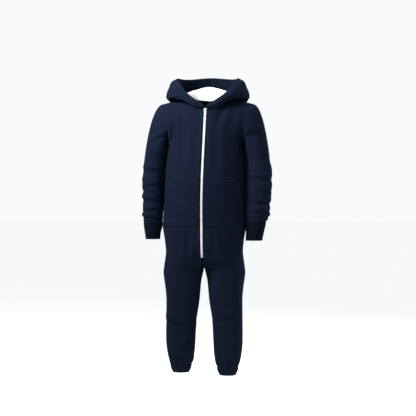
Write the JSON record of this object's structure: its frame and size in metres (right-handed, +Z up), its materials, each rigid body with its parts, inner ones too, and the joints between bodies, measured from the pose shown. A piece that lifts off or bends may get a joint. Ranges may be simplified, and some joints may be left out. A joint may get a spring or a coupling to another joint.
{
  "type": "onesie pajama",
  "caption": "Child's hooded one-piece pajama in navy fleece, zip front, patch pockets, rib cuffs and elasticated ankles, in the hollow shape it keeps when worn",
  "frame": {"origin": "the middle of the neck, level with the inner ends of the shoulder seams, where the wearer's shoulders carry the garment", "axes": "+Z up along the body, -Y out of the front with the zip, +X towards the wearer's left"},
  "size_m": [0.3782, 0.229, 0.873],
  "materials": {
    "navy_fleece": "brushed cotton fleece, matt",
    "navy_rib": "knitted rib, matt",
    "white_jersey": "smooth jersey knit",
    "white_tape": "woven zip tape",
    "white_teeth": "moulded zip teeth, satin",
    "white_enamel": "white enamel on cast metal",
    "grey_metal": "pressed metal"
  },
  "bodies": {
    "root": {"front_left": "navy_fleece", "front_right": "navy_fleece", "back": "navy_fleece", "leg_front_left": "navy_fleece", "leg_front_right": "navy_fleece", "leg_back_left": "navy_fleece", "leg_back_right": "navy_fleece", "sleeve_left": "navy_fleece", "sleeve_right": "navy_fleece", "hem_left": "navy_fleece", "hem_right": "navy_fleece", "hood_left": "navy_fleece", "hood_right": "navy_fleece", "hood_facing_left": "navy_fleece", "hood_facing_right": "navy_fleece", "pocket_left": "navy_fleece", "pocket_right": "navy_fleece", "cuff_left": "navy_rib", "cuff_right": "navy_rib", "hood_lining_left": "white_jersey", "hood_lining_right": "white_jersey", "zip_tape_left": "white_tape", "zip_tape_right": "white_tape", "zip_chain": "white_teeth", "zip_slider": "white_enamel", "zip_bottom_stop": "grey_metal"},
    "pull": {"zip_pull": "white_enamel"}
  },
  "joints": [
    {"name": "zip_pull", "type": "hinge", "parent": "root", "child": "pull", "pos_m": [-0.00031, -0.06582, -0.03816], "axis": [-1, 0, 0], "range_deg": [0, 160]}
  ]
}
